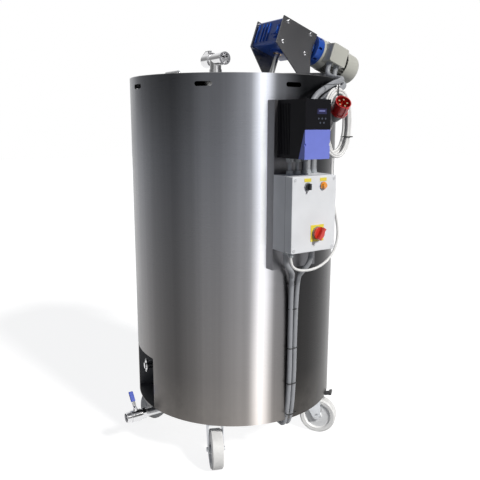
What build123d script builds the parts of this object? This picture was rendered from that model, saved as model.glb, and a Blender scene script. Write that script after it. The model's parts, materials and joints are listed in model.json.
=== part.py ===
"""Round jacketed melting kettle on casters.

Millimetres, +Z up, origin on the floor on the vat's axis. -Y is the side that
the control box faces, +X the side that the mixer motor leans out over, and -X
the side of the drain valve. The mixer stands on a bridge, tilted so that its
shaft runs down across the vat.
"""
import os
from math import atan2, cos, degrees, radians, sin, sqrt, tan

from build123d import *

os.makedirs("parts", exist_ok=True)

fit = 0.05                # running clearance of shafts and pins, on the radius
gap = 0.3                 # clearance between bodies that pass each other

# Shell and vessels
shell_wall = 2.0
shell_bottom = 202.0
shell_top = 1550.0
rim_t = 3.0
rim_lip = 14.0
vat_r = 350.0
vat_wall = 3.0
vat_floor = 500.0
vat_fall = 30.0
jacket_room = 32.0
jacket_wall = 3.0
wool_room = 45.0
jacket_bottom = 430.0
jacket_top = 1400.0
wool_top = 1480.0
plate_t = 3.7
slot_n = 8
slot_len = 66.0
slot_h = 17.0
slot_z = 1512.0
slot_az = -1.5
jacket_r = vat_r + jacket_room
shell_r = jacket_r + jacket_wall + wool_room
rim_inner_r = vat_r - rim_lip

# Service notch in the shell, at the drain
notch_from, notch_to = -115.0, -82.5
notch_top = 421.0
notch_deep = 90.0
notch_wall = 2.0
notch_back_r = shell_r - notch_deep
sensor_az = -101.0
sensor_z = 338.0
sensor_inset = 28.0
sensor_face_r = shell_r - sensor_inset

# Frame, heaters
caster_inset = 183.0
caster_at = shell_r - caster_inset
beam = 40.0
heater_r = (200.0, 280.0)
heater_tube = 6.0
heater_rise = 14.0

# Drain line
pipe_r = 17.0
pipe_bore = 13.5
drain_z = 160.0
elbow_r = 33.0
outlet_reach = 100.0
valve_end = -shell_r - outlet_reach
valve_len = 84.0
valve_r = 26.0
valve_ring_r = 22.5
valve_socket = 14.0
valve_ball_r = 19.0
valve_stem_r = 5.0
drain_lever_reach = 46.0
drain_lever_rise = 58.0
lever_w = 15.0
sleeve_len = 44.0

# Fill valve on the rim
fill_x = 121.0
fill_out = 26.0
fill_y = sqrt((vat_r + fill_out) ** 2 - fill_x ** 2)
fill_rise = 120.0
fill_z = shell_top + fill_rise
fill_r = 28.0
fill_bore = 18.0
fill_mouth = fill_y - 87.0
fill_back = fill_y + 86.0
fill_ball_y = fill_y + 56.0
fill_ball_r = 24.0
fill_bulb_r = 34.0
fill_lever_len = 62.0
collar_r = 31.0

# Covers
cover_inset = 7.0
cover_r = vat_r - cover_inset
cover_t = 3.0
hinge_x = 40.0
pin_r = 3.0
knuckle_r = 5.2
knuckle_len = 26.0
hinge_ys = (-200.0, 200.0)
handle_inset = 58.0
handle_x = handle_inset - cover_r
handle_len = 120.0
handle_rise = 17.0
handle_r = 5.0

# Mixer: tilted frame of the worm gear
tilt = 19.5
gear_x = 272.0
gear_rise = 183.0
gear_z = shell_top + gear_rise
worm_y, wheel_y = -40.0, 35.0
house_half = 86.0
house_n = 55.0
house_front, house_rear = -74.0, 114.0
side_t = 6.0
side_half = 95.5
side_top = 57.0
side_low = 59.0
side_right_low = 46.0
bolt_u, bolt_n, bolt_r = 64.0, 43.0, 4.0
neck_len = 18.0
neck_r = 33.5
flange_len = 34.0
flange_r = 63.0
wheel_r = 54.5
wheel_w = 36.0
wheel_teeth = 30
hub_r = 20.0
out_r = 12.0
worm_r = 20.2
worm_shaft_r = 10.0
worm_pitch = 11.0
shield_len = 40.0
shield_r = 64.0
frame_len = 112.0
core_r = 57.0
fin_r = 66.0
fin_n = 28
fin_t = 2.4
motor_shaft_r = 8.0
rotor_r = 33.6
stator_bore = 34.0
cowl_len = 80.0
cowl_wall = 2.0
cowl_round = 20.0
fan_r = 55.0
tbox_u0, tbox_u1 = 150.0, 238.0
tbox_n0, tbox_n1 = -42.0, 36.0
tbox_face = -138.0
tbox_lid_t = 11.0
shaft_end = 1226.0
prop_at = 1200.0
prop_r = 90.0

# Bridge tray under the mixer
tray_x0 = 110.0
tray_reach = 48.0
tray_x1 = shell_r + tray_reach
tray_t = 3.0
tray_y0, tray_y1 = -83.0, 123.0
tray_low, tray_high = 26.0, 45.0

# Console and control box
con_x0, con_x1 = -115.0, 85.0
con_stand = 26.0
con_drop, con_tall = 94.0, 616.0
con_t = 2.0
box_lift, box_tall = 81.0, 273.0
box_deep, lid_deep = 70.0, 40.0
box_wall = 3.0
knob_x, lamp_x, small_drop = -48.0, 22.7, 36.0
switch_x, switch_rise = 1.0, 67.0
con_y = -shell_r - con_stand
con_z1 = shell_top - con_drop
con_z0 = con_z1 - con_tall
box_z0 = con_z0 + box_lift
box_z1 = box_z0 + box_tall
box_joint = con_y - box_deep
box_face = box_joint - lid_deep
small_z = box_z1 - small_drop
switch_z = box_z0 + switch_rise
switch_plate = 60.0
small_r = 14.0

# Inverter
inv_x0, inv_x1 = -100.0, 10.0
inv_deep = 154.0
inv_lift, inv_tall, inv_cover_tall = 61.0, 200.0, 99.0
inv_face = con_y - inv_deep
inv_z0 = box_z1 + inv_lift
inv_z1 = inv_z0 + inv_tall
inv_split = inv_z0 + inv_cover_tall
inv_wedge = 30.0
inv_lip = 3.0

# Conduits, cable
duct_r = 10.0
duct_off = 2.4
duct_y = -shell_r - duct_r - duct_off
duct_xs = (-16.0, 6.0)
duct_drop = 30.0
duct_low = shell_bottom - duct_drop
duct_turn_in = 92.0
hose_r = 11.0
gland_r = 14.5
gland_len = 15.0
gland_waist = 12.0
cord_r = 5.0
hank_side, hank_out, hank_drop = 45.0, 47.0, 79.0
hank_x = con_x1 + hank_side
hank_y = con_y - hank_out
hank_z = inv_z1 - hank_drop
hank_half, hank_tall, hank_band, hank_thick = 70.0, 130.0, 30.0, 30.0
tie_t = 1.6
tie_w = 4.0
tie_zs = (770.0, 671.0, 511.0, 363.0, 233.0)

# Casters
wheel_radius = 80.0
wheel_width = 50.0
trail = 46.0
fork_t = 4.0
fork_top = 187.7
race_r = 30.0
king_r = 8.0
axle_r = 6.0
pedal_x = 50.0
pedal_pin = 3.0
pedal_len = 56.0
pedal_tilt = 12.0
casters = {1: (-1, -1, 247.0), 2: (1, -1, 311.5), 3: (-1, 1, 200.0), 4: (1, 1, 20.0)}
braked = (2, 4)

MX = (Align.CENTER, Align.CENTER, Align.MIN)
plate_top = shell_bottom + plate_t
rim_under = shell_top - rim_t
cover_top = shell_top + cover_t
st, ct = sin(radians(tilt)), cos(radians(tilt))
tower = Plane(origin=(gear_x, 0, gear_z), x_dir=(ct, 0, -st), z_dir=(st, 0, ct))


def world(u, n):
    """X and Z of a point of the tilted frame."""
    return gear_x + u * ct + n * st, gear_z - u * st + n * ct


def radial(az, z, r=0.0):
    """Plane at azimuth az (from -Y towards +X), facing out of the shell."""
    out = (sin(radians(az)), -cos(radians(az)), 0)
    return Plane(origin=(out[0] * r, out[1] * r, z), x_dir=(-out[1], out[0], 0), z_dir=out)


def sector(r0, r1, az0, az1, z0, z1):
    """Solid ring sector between two azimuths."""
    far = 2.2 * r1
    mid = (az0 + az1) / 2
    pts = [(0, 0)] + [(far * sin(radians(a)), -far * cos(radians(a))) for a in (az0, mid, az1)]
    with BuildPart() as made:
        with BuildSketch(Plane.XY.offset(z0)):
            Circle(r1)
            if r0 > 0:
                Circle(r0, mode=Mode.SUBTRACT)
            with BuildLine():
                Polyline(*pts, close=True)
            make_face(mode=Mode.INTERSECT)
        extrude(amount=z1 - z0)
    return made.part


def tube(points, radii, outer, bore=0.0):
    """Straight runs joined by tangent arcs."""
    with BuildPart() as made:
        with BuildLine() as path:
            FilletPolyline(*points, radius=radii)
        with BuildSketch(Plane(origin=path.line @ 0, z_dir=path.line % 0)):
            Circle(outer)
            if bore > 0:
                Circle(bore, mode=Mode.SUBTRACT)
        sweep(path=path.line)
    return made.part


def soft_radii(points, share=0.45):
    """Largest arc that each corner's two runs allow."""
    v = [Vector(*p) for p in points]
    out = []
    for a, b, c in zip(v, v[1:], v[2:]):
        turn = radians((b - a).get_angle(c - b))
        out.append(share * min((b - a).length, (c - b).length) / tan(turn / 2))
    return out


def save(part, name):
    part.label = name
    export_step(part, "parts/" + name + ".step")
    print(name, len(part.solids()), round(part.volume))


def many(*parts):
    return Compound(children=list(parts)) if len(parts) > 1 else parts[0]


# Shell
notch_pad = degrees(notch_wall / shell_r)
pocket_out = sector(notch_back_r - notch_wall, shell_r - shell_wall, notch_from - notch_pad,
                    notch_to + notch_pad, shell_bottom, notch_top + notch_wall)
pocket_in = sector(notch_back_r, shell_r + 5, notch_from, notch_to, shell_bottom + notch_wall,
                   notch_top)

with BuildPart() as outer_shell:
    with Locations((0, 0, shell_bottom)):
        Cylinder(shell_r, shell_top - shell_bottom, align=MX)
        Cylinder(shell_r - shell_wall, shell_top - shell_bottom, align=MX, mode=Mode.SUBTRACT)
    for k in range(slot_n):
        with BuildSketch(radial(slot_az - k * 360 / slot_n, slot_z, shell_r - 8)):
            SlotOverall(slot_len, slot_h)
        extrude(amount=16, mode=Mode.SUBTRACT)
    add(pocket_in, mode=Mode.SUBTRACT)
save(outer_shell.part, "outer_shell")

with BuildPart() as notch_pocket:
    add(pocket_out)
    add(pocket_in, mode=Mode.SUBTRACT)
save(notch_pocket.part, "notch_pocket")

with BuildPart() as bottom_plate:
    with Locations((0, 0, shell_bottom)):
        Cylinder(shell_r - shell_wall, plate_t, align=MX)
        Cylinder(pipe_r + fit, plate_t, align=MX, mode=Mode.SUBTRACT)
    add(sector(notch_back_r - notch_wall, shell_r + 5, notch_from - notch_pad,
               notch_to + notch_pad, shell_bottom - 1, plate_top + 1), mode=Mode.SUBTRACT)

with BuildPart() as rim_ring:
    with Locations((0, 0, rim_under)):
        Cylinder(shell_r - shell_wall, rim_t, align=MX)
        Cylinder(rim_inner_r, rim_t, align=MX, mode=Mode.SUBTRACT)
    with Locations((fill_x, fill_y, rim_under)):
        Cylinder(fill_bore, rim_t, align=MX, mode=Mode.SUBTRACT)
save(rim_ring.part, "rim_ring")

vat_low = vat_floor - vat_fall
with BuildPart() as vat:
    with BuildSketch(Plane.XZ):
        with BuildLine():
            Polyline((pipe_bore, vat_low), (beam, vat_low), (vat_r, vat_floor), (vat_r, rim_under),
                     (vat_r + vat_wall, rim_under), (vat_r + vat_wall, vat_floor - vat_wall),
                     (beam, vat_low - vat_wall), (pipe_bore, vat_low - vat_wall), close=True)
        make_face()
    revolve(axis=Axis.Z)
save(vat.part, "vat")

with BuildPart() as jacket:
    with BuildSketch(Plane.XZ):
        with BuildLine():
            Polyline((pipe_r + fit, jacket_bottom), (jacket_r + jacket_wall, jacket_bottom),
                     (jacket_r + jacket_wall, jacket_top), (vat_r + vat_wall, jacket_top),
                     (vat_r + vat_wall, jacket_top - jacket_wall),
                     (jacket_r, jacket_top - jacket_wall),
                     (jacket_r, jacket_bottom + jacket_wall),
                     (pipe_r + fit, jacket_bottom + jacket_wall), close=True)
        make_face()
    revolve(axis=Axis.Z)
save(jacket.part, "jacket")

with BuildPart() as insulation:
    with Locations((0, 0, jacket_bottom)):
        Cylinder(shell_r - shell_wall - gap, wool_top - jacket_bottom, align=MX)
        Cylinder(jacket_r + jacket_wall + gap, wool_top - jacket_bottom, align=MX,
                 mode=Mode.SUBTRACT)
save(insulation.part, "insulation")

with BuildPart() as base_frame:
    for s in (-1, 1):
        with Locations((0, s * caster_at, plate_top), ):
            Box(2 * caster_at + beam, beam, beam, align=MX)
        with Locations((s * caster_at, 0, plate_top)):
            Box(beam, 2 * caster_at + beam, beam, align=MX)
        for t in (-1, 1):
            with Locations((s * caster_at, t * caster_at, plate_top)):
                Box(beam, beam, jacket_bottom - plate_top, align=MX)
save(many(bottom_plate.part, base_frame.part), "base_frame")

heater_z = jacket_bottom + jacket_wall + heater_rise
with BuildPart() as spokes:
    for k in range(3):
        with Locations(Location((0, 0, 0), (0, 0, 120 * k + 30))):
            with Locations((heater_r[0], 0, heater_z)):
                Box(heater_r[1] - heater_r[0], heater_tube - 1, heater_tube - 1,
                    align=(Align.MIN, Align.CENTER, Align.CENTER))
            for r in heater_r:
                with Locations((r, 0, jacket_bottom + jacket_wall)):
                    Cylinder(heater_tube * 0.6, heater_rise, align=MX)
hoops = []
for r in heater_r:
    with BuildPart() as hoop:
        with BuildSketch(Plane.XZ):
            with Locations((r, heater_z)):
                RegularPolygon(heater_tube, 8)
        revolve(axis=Axis.Z)
    hoops.append(hoop.part)
heating_elements = hoops[0] + hoops[1] + spokes.part
save(heating_elements, "heating_elements")

cov = radial(sensor_az, sensor_z, notch_back_r)
stem_len = sensor_face_r - notch_back_r
with BuildPart(cov) as sensor_cover:
    Cylinder(14, stem_len, align=MX)
    with BuildSketch(cov.offset(stem_len)):
        with BuildLine():
            Polyline((0, 36), (24, 5), (24, -5), (0, -36), (-24, -5), (-24, 5), close=True)
        make_face()
    extrude(amount=6)
    fillet(sensor_cover.edges().filter_by(lambda e: abs(e.length - 6) < 0.2), 9)
    with Locations((0, 0, stem_len + 6)):
        Cylinder(13, 7, align=MX)
        with Locations((0, 24, 0), (0, -24, 0)):
            Cylinder(3.5, 3, align=MX)
save(sensor_cover.part, "sensor_cover")

# Drain
stub = valve_end + valve_len - valve_socket
drain_route = [(0, 0, vat_low - vat_wall), (0, 0, drain_z), (stub, 0, drain_z)]
drain_pipe = tube(drain_route, elbow_r, pipe_r, pipe_bore)
save(drain_pipe, "drain_pipe")

valve_x = valve_end + valve_len / 2
stem_top = drain_z + valve_r + 12
with BuildPart() as drain_body:
    with Locations((valve_x, 0, drain_z)):
        Cylinder(valve_ring_r, valve_len, rotation=(0, 90, 0))
        Cylinder(valve_r, valve_len * 0.5, rotation=(0, 90, 0))
        with Locations(((valve_len - valve_socket) / 2, 0, 0)):
            with BuildSketch(Plane(origin=(valve_x + valve_len / 2 - valve_socket, 0, drain_z),
                                   z_dir=(1, 0, 0))):
                RegularPolygon(valve_r - 1, 6)
            extrude(amount=valve_socket)
    with Locations((valve_x, 0, drain_z + valve_r - 6)):
        Cylinder(9, 14, align=MX)
    with Locations((valve_x, 0, drain_z)):
        Cylinder(pipe_bore, valve_len + 2, rotation=(0, 90, 0), mode=Mode.SUBTRACT)
        Sphere(valve_ball_r + fit, mode=Mode.SUBTRACT)
        Cylinder(valve_stem_r + fit, valve_r + 20, align=MX, mode=Mode.SUBTRACT)
    with Locations((stub, 0, drain_z)):
        Cylinder(pipe_r, valve_socket + 2, rotation=(0, 90, 0), mode=Mode.SUBTRACT,
                 align=(Align.CENTER, Align.CENTER, Align.MIN))
    with Locations((valve_end, 0, drain_z)):
        Cylinder(valve_ring_r - 4, 2 * valve_socket, rotation=(0, 90, 0), mode=Mode.SUBTRACT)
save(drain_body.part, "drain_body")

lever_dir = atan2(drain_lever_rise, drain_lever_reach)
with BuildPart() as drain_lever:
    with Locations((valve_x, 0, drain_z)):
        Sphere(valve_ball_r)
        Cylinder(valve_stem_r, stem_top - drain_z + 3, align=MX)
        Cylinder(pipe_bore, valve_ball_r * 2 + 2, rotation=(90, 0, 0), mode=Mode.SUBTRACT)
    with BuildSketch(Plane.YZ.offset(valve_x - lever_w / 2)):
        with BuildLine():
            y1, z1 = drain_lever_reach, stem_top + drain_lever_rise - 12
            Polyline((-8, stem_top - 3), (9, stem_top - 3), (y1 + 2.5, z1 - 1.2), (y1 - 0.5, z1),
                     (7, stem_top + gap), (-8, stem_top + gap), close=True)
        make_face()
    extrude(amount=lever_w)
save(drain_lever.part, "drain_lever")

with BuildPart() as drain_sleeve:
    ly = (7 + drain_lever_reach) / 2 + 9
    lz = stem_top + (drain_lever_rise - 12) / 2 + 10
    slope = degrees(atan2(drain_lever_rise - 12, drain_lever_reach - 7))
    with Locations(Location((valve_x, ly, lz), (slope, 0, 0))):
        Box(lever_w + 4, sleeve_len, 9)
        fillet(drain_sleeve.edges(), 3)
    add(drain_lever.part, mode=Mode.SUBTRACT)
save(drain_sleeve.part, "drain_sleeve")

# Fill valve
with BuildPart() as fill_body:
    with Locations((fill_x, fill_y, shell_top)):
        Cylinder(fill_r, fill_z - shell_top, align=MX)
        Cylinder(collar_r, 12, align=MX)
    with Locations((fill_x, fill_y, shell_top + 50)):
        Cylinder(collar_r, 24, align=MX)
    with Locations((fill_x, (fill_mouth + fill_back) / 2, fill_z)):
        Cylinder(fill_r, fill_back - fill_mouth, rotation=(90, 0, 0))
    with Locations((fill_x, fill_mouth + 10, fill_z)):
        Cylinder(fill_r + 2, 20, rotation=(90, 0, 0))
    with Locations((fill_x, fill_ball_y, fill_z)):
        Cylinder(fill_bulb_r, 2 * (fill_back - fill_ball_y), rotation=(90, 0, 0))
        Cylinder(9, fill_bulb_r + 8, align=MX)
        Cylinder(6 + fit, fill_bulb_r + 12, align=MX, mode=Mode.SUBTRACT)
        Sphere(fill_ball_r + fit, mode=Mode.SUBTRACT)
    with Locations((fill_x, (fill_mouth + fill_back) / 2, fill_z)):
        Cylinder(fill_bore, fill_back - fill_mouth + 2, rotation=(90, 0, 0), mode=Mode.SUBTRACT)
    with Locations((fill_x, fill_mouth, fill_z)):
        Cylinder(fill_r - 5, 60, rotation=(90, 0, 0), mode=Mode.SUBTRACT)
    with Locations((fill_x, fill_y, shell_top)):
        Cylinder(fill_bore, fill_z - shell_top, align=MX, mode=Mode.SUBTRACT)
save(fill_body.part, "fill_body")

fill_stem_top = fill_z + fill_bulb_r + 8
with BuildPart() as fill_lever:
    with Locations((fill_x, fill_ball_y, fill_z)):
        Sphere(fill_ball_r)
        Cylinder(6, fill_stem_top - fill_z + 3, align=MX)
        Cylinder(fill_bore, 2 * fill_ball_r + 2, rotation=(90, 0, 0), mode=Mode.SUBTRACT)
    with BuildSketch(Plane.YZ.offset(fill_x - lever_w / 2)):
        with BuildLine():
            z0 = fill_stem_top + gap
            y0 = fill_ball_y
            Polyline((y0 - 9, z0), (y0 + 26, z0), (y0 + fill_lever_len, z0 - 20),
                     (y0 + fill_lever_len + 2, z0 - 17), (y0 + 27, z0 + 3), (y0 - 9, z0 + 3),
                     close=True)
        make_face()
    extrude(amount=lever_w)
save(fill_lever.part, "fill_lever")

# Covers
shaft_z = cover_top
shaft_x = gear_x - (gear_z - shaft_z) * tan(radians(tilt))
hinge_z = cover_top + knuckle_r + gap
with BuildPart() as fixed_cover:
    with Locations((0, 0, shell_top)):
        Cylinder(cover_r, cover_t, align=MX)
    with Locations((hinge_x + 0.5 - 2 * cover_r, 0, shell_top)):
        Box(2 * cover_r, 2 * cover_r, 3 * cover_t, align=(Align.MIN, Align.CENTER, Align.CENTER),
            mode=Mode.SUBTRACT)
    with BuildSketch(Plane(origin=(shaft_x, wheel_y, shell_top - 5))):
        SlotOverall(90, 64)
    extrude(amount=20, mode=Mode.SUBTRACT)
    for y in hinge_ys:
        for s in (-1, 1):
            with Locations((hinge_x, y + s * (knuckle_len + gap), hinge_z)):
                Cylinder(knuckle_r, knuckle_len, rotation=(90, 0, 0))
            with Locations((hinge_x + 1, y + s * (knuckle_len + gap), cover_top)):
                Box(26, knuckle_len, 2, align=(Align.MIN, Align.CENTER, Align.MIN))
                Box(4, knuckle_len, knuckle_r + gap, align=(Align.MIN, Align.CENTER, Align.MIN))
            with Locations((hinge_x, y + s * (knuckle_len + gap), hinge_z)):
                Cylinder(pin_r, knuckle_len, rotation=(90, 0, 0), mode=Mode.SUBTRACT)

with BuildPart() as hinge_pins:
    for y in hinge_ys:
        with Locations((hinge_x, y, hinge_z)):
            Cylinder(pin_r, 3 * knuckle_len + 2 * gap, rotation=(90, 0, 0))
save(many(fixed_cover.part, hinge_pins.part), "fixed_cover")

lid_z0 = shell_top + gap
with BuildPart() as hinged_lid:
    with Locations((0, 0, lid_z0)):
        Cylinder(cover_r, cover_t, align=MX)
    with Locations((hinge_x - 2.5, 0, lid_z0)):
        Box(2 * cover_r, 2 * cover_r, 3 * cover_t, align=(Align.MIN, Align.CENTER, Align.CENTER),
            mode=Mode.SUBTRACT)
    for y in hinge_ys:
        with Locations((hinge_x, y, hinge_z)):
            Cylinder(knuckle_r, knuckle_len, rotation=(90, 0, 0))
        with Locations((hinge_x - 1.5, y, lid_z0 + cover_t)):
            Box(30, knuckle_len, 2, align=(Align.MAX, Align.CENTER, Align.MIN))
            Box(3.5, knuckle_len, knuckle_r, align=(Align.MAX, Align.CENTER, Align.MIN))
        with Locations((hinge_x, y, hinge_z)):
            Cylinder(pin_r + fit, knuckle_len, rotation=(90, 0, 0), mode=Mode.SUBTRACT)
save(hinged_lid.part, "hinged_lid")

lid_top = lid_z0 + cover_t
half = handle_len / 2
bar_z = lid_top + handle_rise
handle_route = [(handle_x, -half, lid_top), (handle_x, -half, bar_z), (handle_x, half, bar_z),
                (handle_x, half, lid_top)]
save(tube(handle_route, handle_r * 1.6, handle_r), "lid_handle")

# Bridge and side plates
with BuildPart() as bridge:
    with Locations((tray_x0, (tray_y0 + tray_y1) / 2, cover_top)):
        Box(tray_x1 - tray_x0, tray_y1 - tray_y0, tray_t, align=(Align.MIN, Align.CENTER, Align.MIN))
    for y in (tray_y0, tray_y1 - tray_t):
        with BuildSketch(Plane(origin=(0, y, 0), x_dir=(1, 0, 0), z_dir=(0, -1, 0))):
            with BuildLine():
                Polyline((tray_x0, cover_top), (tray_x1, cover_top),
                         (tray_x1, cover_top + tray_high), (tray_x0, cover_top + tray_low),
                         close=True)
            make_face()
        extrude(amount=-tray_t)
    with BuildSketch(Plane(origin=(shaft_x, wheel_y, cover_top - 5))):
        SlotOverall(90, 64)
    extrude(amount=20, mode=Mode.SUBTRACT)
save(bridge.part, "bridge")

tray_top = cover_top + tray_t


def side_plate(y_face, depth, foot):
    corners = [world(-side_half, side_top), world(side_half, side_top),
               world(side_half, -side_right_low)]
    with BuildPart() as made:
        with BuildSketch(Plane(origin=(0, y_face, 0), x_dir=(1, 0, 0), z_dir=(0, -1, 0))):
            with BuildLine():
                Polyline(*corners, *foot, world(-side_half, -side_low), close=True)
            make_face()
        extrude(amount=-depth)
        with BuildSketch(Plane(origin=(0, y_face - 50, 0), x_dir=(1, 0, 0), z_dir=(0, -1, 0))):
            for u in (-bolt_u, bolt_u):
                for n in (-bolt_n, bolt_n):
                    with Locations(world(u, n)):
                        Circle(bolt_r + fit)
        extrude(amount=-100, mode=Mode.SUBTRACT)
    return made.part


right_x = world(side_half, -side_right_low)[0] - 1
front_foot = [(right_x, tray_top), (gear_x + 31, tray_top), (gear_x + 0.9, gear_z - 145.2)]
rear_foot = [(gear_x + 34, gear_z - 73), (gear_x + 12, gear_z - 132), (gear_x + 4, tray_top),
             (gear_x - 46, tray_top), (gear_x - 43, gear_z - 136)]
save(many(side_plate(house_front - side_t, side_t, front_foot),
          side_plate(house_rear, side_t, rear_foot)), "side_plates")

with BuildPart() as plate_bolts:
    for y, way in ((house_front - side_t, -1), (house_rear + side_t, 1)):
        for u in (-bolt_u, bolt_u):
            for n in (-bolt_n, bolt_n):
                x, z = world(u, n)
                with Locations(Location((x, y, z), (90 if way < 0 else -90, 0, 0))):
                    Cylinder(8, 1.6, align=MX)
                    Cylinder(6.5, 7, align=MX)
                    Cylinder(bolt_r, side_t + 14,
                             align=(Align.CENTER, Align.CENTER, Align.MAX))
save(plate_bolts.part, "plate_bolts")

# Worm gear
neck_end = house_half + neck_len
flange_end = neck_end + flange_len
wheel_room = wheel_r + 8
with BuildPart(tower) as gearbox_housing:
    mid_y = (house_front + house_rear) / 2
    with Locations((0, mid_y, 0)):
        Box(2 * house_half, house_rear - house_front, 2 * house_n)
    fillet(gearbox_housing.edges().filter_by(Axis.Y), 10)
    with Locations((house_half, worm_y, 0)):
        Cylinder(neck_r, neck_len, rotation=(0, 90, 0), align=MX)
    with Locations((neck_end, worm_y, 0)):
        Cylinder(flange_r, flange_len, rotation=(0, 90, 0), align=MX)
        for k in range(8):
            with Locations(Rotation(45 * k, 0, 0)):
                with Locations((flange_len / 2 - 3, 0, flange_r - 4)):
                    Box(flange_len - 16, 10, 14, mode=Mode.SUBTRACT)
    with Locations((0, wheel_y, -house_n)):
        Cylinder(36, 8, align=(Align.CENTER, Align.CENTER, Align.MAX))
    for y in (house_front + 94, house_front + 118, house_front + 142, house_rear - 12):
        with Locations((-house_half, y, 0)):
            Box(5, 5, 2 * house_n - 30, align=(Align.MAX, Align.CENTER, Align.CENTER))
    with Locations((0, worm_y, 0)):
        Cylinder(30, 2 * 60, rotation=(0, 90, 0), mode=Mode.SUBTRACT)
        Cylinder(worm_shaft_r + fit, 2 * neck_end + 2, rotation=(0, 90, 0), mode=Mode.SUBTRACT)
    with Locations((neck_end, worm_y, 0)):
        Cylinder(40, flange_len + 1, rotation=(0, 90, 0), align=MX, mode=Mode.SUBTRACT)
    with Locations((0, wheel_y, 0)):
        Cylinder(wheel_room, wheel_w + 14, mode=Mode.SUBTRACT)
        Cylinder(hub_r + fit, 2 * house_n + 40, mode=Mode.SUBTRACT)
    for y in (house_front, house_rear):
        for u in (-bolt_u, bolt_u):
            for n in (-bolt_n, bolt_n):
                with Locations((u, y, n)):
                    Cylinder(bolt_r + fit, 2 * 16, rotation=(90, 0, 0), mode=Mode.SUBTRACT)
save(gearbox_housing.part, "gearbox_housing")

with BuildPart(tower) as gearbox_end_cap:
    with Locations((-house_half, worm_y, 0)):
        Cylinder(32, 8, rotation=(0, -90, 0), align=MX)
        Cylinder(20, 14, rotation=(0, -90, 0), align=MX)
        for k in range(4):
            with Locations(Rotation(45 + 90 * k, 0, 0)):
                with Locations((-8, 0, 26)):
                    Cylinder(3.5, 3, rotation=(0, -90, 0), align=MX)
    with Locations((-house_half, worm_y, 0)):
        Cylinder(worm_shaft_r + 2, 8, rotation=(0, 90, 0), mode=Mode.SUBTRACT)
save(gearbox_end_cap.part, "gearbox_end_cap")

with BuildPart(tower) as worm_shaft:
    with Locations((-house_half - 2, worm_y, 0)):
        Cylinder(worm_shaft_r, house_half + 2 + neck_end, rotation=(0, 90, 0), align=MX)
    with Locations((0, worm_y, 0)):
        Cylinder(worm_r - 5, 90, rotation=(0, 90, 0))
        for k in range(-3, 4):
            with Locations((k * worm_pitch, 0, 0)):
                Cylinder(worm_r, worm_pitch * 0.45, rotation=(0, 90, 0))
save(worm_shaft.part, "worm_shaft")

hub_top, hub_low = house_n - 1, -house_n - 7
with BuildPart(tower) as worm_wheel:
    with Locations((0, wheel_y, 0)):
        Cylinder(wheel_r, wheel_w)
    with Locations((0, wheel_y, hub_low)):
        Cylinder(hub_r, hub_top - hub_low, align=MX)
        Cylinder(out_r, hub_top - hub_low, align=MX, mode=Mode.SUBTRACT)
    with Locations((0, wheel_y, 0)):
        with PolarLocations(wheel_r, wheel_teeth):
            Box(6, 5, wheel_w, mode=Mode.SUBTRACT)
save(worm_wheel.part, "worm_wheel")

with BuildPart(tower) as agitator_shaft:
    with Locations((0, wheel_y, hub_top)):
        Cylinder(out_r, hub_top + shaft_end, align=(Align.CENTER, Align.CENTER, Align.MAX))
        Cylinder(hub_r - 2, 5, align=MX)

with BuildPart(tower) as propeller:
    with Locations((0, wheel_y, -prop_at)):
        Cylinder(out_r + 7, 34)
        for k in range(3):
            with Locations(Rotation(0, 0, 120 * k)):
                with Locations(Location(((prop_r + out_r) / 2, 0, 0), (40, 0, 0))):
                    Box(prop_r - out_r, 44, 4)
        Cylinder(prop_r, 60, mode=Mode.INTERSECT)
        Cylinder(out_r, 60, mode=Mode.SUBTRACT)
save(many(agitator_shaft.part, propeller.part), "agitator")

# Motor
shield_end = flange_end + shield_len
frame_end = shield_end + frame_len
cowl_start = frame_end - 6
cowl_end = cowl_start + cowl_len
with BuildPart(tower) as motor_endshield:
    with Locations((flange_end, worm_y, 0)):
        Cylinder(shield_r, shield_len, rotation=(0, 90, 0), align=MX)
        Cylinder(motor_shaft_r + fit, shield_len, rotation=(0, 90, 0), align=MX,
                 mode=Mode.SUBTRACT)
    with Locations((flange_end + 12, worm_y, 0)):
        Cylinder(stator_bore + 8, shield_len, rotation=(0, 90, 0), align=MX, mode=Mode.SUBTRACT)
save(motor_endshield.part, "motor_endshield")

with BuildPart(tower) as motor_body:
    with Locations((shield_end, worm_y, 0)):
        Cylinder(core_r, frame_len, rotation=(0, 90, 0), align=MX)
        for k in range(fin_n):
            with Locations(Rotation(360 * (k + 0.5) / fin_n, 0, 0)):
                with Locations((0, 0, (core_r + fin_r) / 2)):
                    Box(frame_len, fin_t, fin_r - core_r + 2,
                        align=(Align.MIN, Align.CENTER, Align.CENTER))
        Cylinder(fin_r, frame_len, rotation=(0, 90, 0), align=MX, mode=Mode.INTERSECT)
        Cylinder(motor_shaft_r + fit, frame_len, rotation=(0, 90, 0), align=MX,
                 mode=Mode.SUBTRACT)
        Cylinder(stator_bore, frame_len - 8, rotation=(0, 90, 0), align=MX, mode=Mode.SUBTRACT)
save(motor_body.part, "motor_body")

with BuildPart(tower) as motor_rotor:
    with Locations((neck_end, worm_y, 0)):
        Cylinder(motor_shaft_r, cowl_end - 34 - neck_end, rotation=(0, 90, 0), align=MX)
    with Locations((neck_end, worm_y, 0)):
        Cylinder(16, 14, rotation=(0, 90, 0), align=MX)
    with Locations((shield_end + 6, worm_y, 0)):
        Cylinder(rotor_r, frame_len - 24, rotation=(0, 90, 0), align=MX)

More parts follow.
